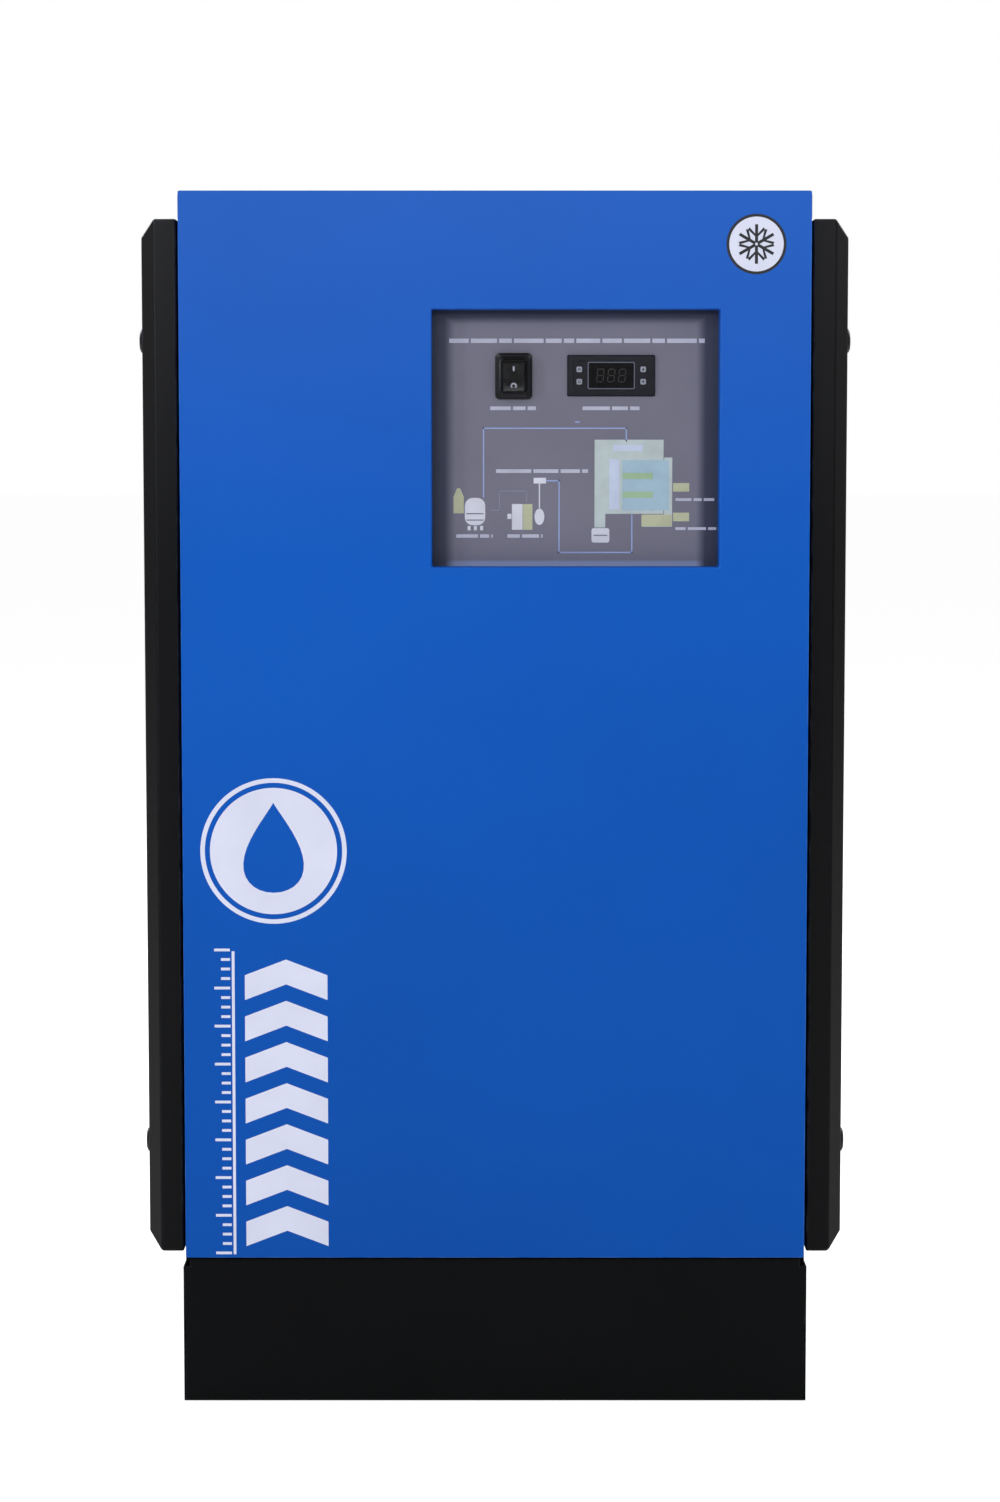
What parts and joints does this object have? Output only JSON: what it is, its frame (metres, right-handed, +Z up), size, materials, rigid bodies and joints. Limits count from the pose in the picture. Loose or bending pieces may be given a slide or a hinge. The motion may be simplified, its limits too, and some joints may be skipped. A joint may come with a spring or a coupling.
{
  "type": "refrigerated air dryer",
  "caption": "Floor-standing compressed-air dryer: blue and black sheet-metal cabinet on a plinth, recessed control panel, refrigeration circuit inside.",
  "frame": {"origin": "on the floor, at the middle of the overall box", "axes": "+Z up, -Y towards the front panel, +X towards the window side, which is the right seen from the front"},
  "size_m": [0.6344, 0.67, 1.072],
  "materials": {
    "blue_paint": "fine-texture blue powder coat",
    "black_paint": "fine-texture black powder coat",
    "grey_panel": "satin grey printed plate",
    "zinc_steel": "zinc-plated steel",
    "black_plastic": "moulded, fine grain",
    "gloss_black": "glossy",
    "clear_cap": "clear flexible cover",
    "key_plastic": "satin",
    "rubber": "matte black",
    "copper": "drawn copper tube, brazed",
    "brass": "machined",
    "aluminium": "bare fins",
    "foam": "closed-cell insulation",
    "shell_paint": "gloss black enamel",
    "hose_plastic": "translucent polyamide"
  },
  "bodies": {
    "cabinet": {"plinth_left_rail": "black_paint", "plinth_right_rail": "black_paint", "plinth_front_cover": "black_paint", "plinth_rear_member": "black_paint", "floor_plate": "zinc_steel", "front_left_post": "black_paint", "front_right_post": "black_paint", "rear_right_post": "black_paint", "rear_left_post": "black_paint", "front_panel": "blue_paint", "right_side_cover": "black_paint", "left_side_cover": "black_paint", "top_cover": "black_paint", "rear_panel": "black_paint", "fan_guard": "black_paint", "control_plate": "grey_panel", "electrical_box": "zinc_steel", "switch_body": "black_plastic", "switch_cap": "clear_cap", "controller_case": "black_plastic", "controller_lens": "gloss_black", "compressor": "shell_paint", "compressor_terminal_cover": "black_plastic", "compressor_mount_1": "rubber", "compressor_mount_2": "rubber", "compressor_mount_3": "rubber", "compressor_mount_4": "rubber", "start_capacitor": "aluminium", "condenser_coil": "aluminium", "fan_shroud": "zinc_steel", "fan_motor": "shell_paint", "heat_exchanger": "foam", "exchanger_left_leg": "zinc_steel", "exchanger_right_leg": "zinc_steel", "air_outlet_pipe": "brass", "air_inlet_pipe": "brass", "discharge_line": "copper", "suction_line": "copper", "liquid_line": "copper", "injection_line": "copper", "filter_drier": "copper", "expansion_valve": "brass", "hot_gas_bypass_valve": "brass", "pressure_switch": "brass", "drain_ball_valve": "brass", "drain_solenoid_valve": "brass", "drain_hose": "hose_plastic", "drain_outlet": "brass", "cable_gland": "black_plastic"},
    "right_upper_latch": {"right_upper_latch": "black_paint"},
    "right_lower_latch": {"right_lower_latch": "black_paint"},
    "left_upper_latch": {"left_upper_latch": "black_paint"},
    "left_lower_latch": {"left_lower_latch": "black_paint"},
    "power_rocker": {"switch_rocker": "gloss_black"},
    "set_key": {"key_set": "key_plastic"},
    "power_key": {"key_power": "key_plastic"},
    "up_key": {"key_up": "key_plastic"},
    "down_key": {"key_down": "key_plastic"},
    "fan": {"fan_rotor": "black_paint"},
    "drain_lever": {"drain_valve_lever": "zinc_steel"}
  },
  "joints": [
    {"name": "right_upper_latch_turn", "type": "hinge", "parent": "cabinet", "child": "right_upper_latch", "pos_m": [0.31, -0.25, 0.945], "axis": [1, 0, 0], "range_deg": [0, 90]},
    {"name": "right_lower_latch_turn", "type": "hinge", "parent": "cabinet", "child": "right_lower_latch", "pos_m": [0.31, -0.25, 0.222], "axis": [1, 0, 0], "range_deg": [0, 90]},
    {"name": "left_upper_latch_turn", "type": "hinge", "parent": "cabinet", "child": "left_upper_latch", "pos_m": [-0.31, -0.25, 0.945], "axis": [-1, 0, 0], "range_deg": [0, 90]},
    {"name": "left_lower_latch_turn", "type": "hinge", "parent": "cabinet", "child": "left_lower_latch", "pos_m": [-0.31, -0.25, 0.222], "axis": [-1, 0, 0], "range_deg": [0, 90]},
    {"name": "power_rocker_tilt", "type": "hinge", "parent": "cabinet", "child": "power_rocker", "pos_m": [0.0165, -0.3095, 0.9125], "axis": [-1, 0, 0], "range_deg": [0, 20]},
    {"name": "set_key_press", "type": "slide", "parent": "cabinet", "child": "set_key", "axis": [0, 1, 0], "range_m": [0, 0.0006], "stiffness_N_per_m": 600},
    {"name": "power_key_press", "type": "slide", "parent": "cabinet", "child": "power_key", "axis": [0, 1, 0], "range_m": [0, 0.0006], "stiffness_N_per_m": 600},
    {"name": "up_key_press", "type": "slide", "parent": "cabinet", "child": "up_key", "axis": [0, 1, 0], "range_m": [0, 0.0006], "stiffness_N_per_m": 600},
    {"name": "down_key_press", "type": "slide", "parent": "cabinet", "child": "down_key", "axis": [0, 1, 0], "range_m": [0, 0.0006], "stiffness_N_per_m": 600},
    {"name": "fan_spin", "type": "hinge", "parent": "cabinet", "child": "fan", "pos_m": [0, 0.244, 0.355], "axis": [0, 1, 0], "continuous": true},
    {"name": "drain_lever_turn", "type": "hinge", "parent": "cabinet", "child": "drain_lever", "pos_m": [-0.02, 0.0185, 0.592], "axis": [0, 1, 0], "range_deg": [0, 90]}
  ]
}
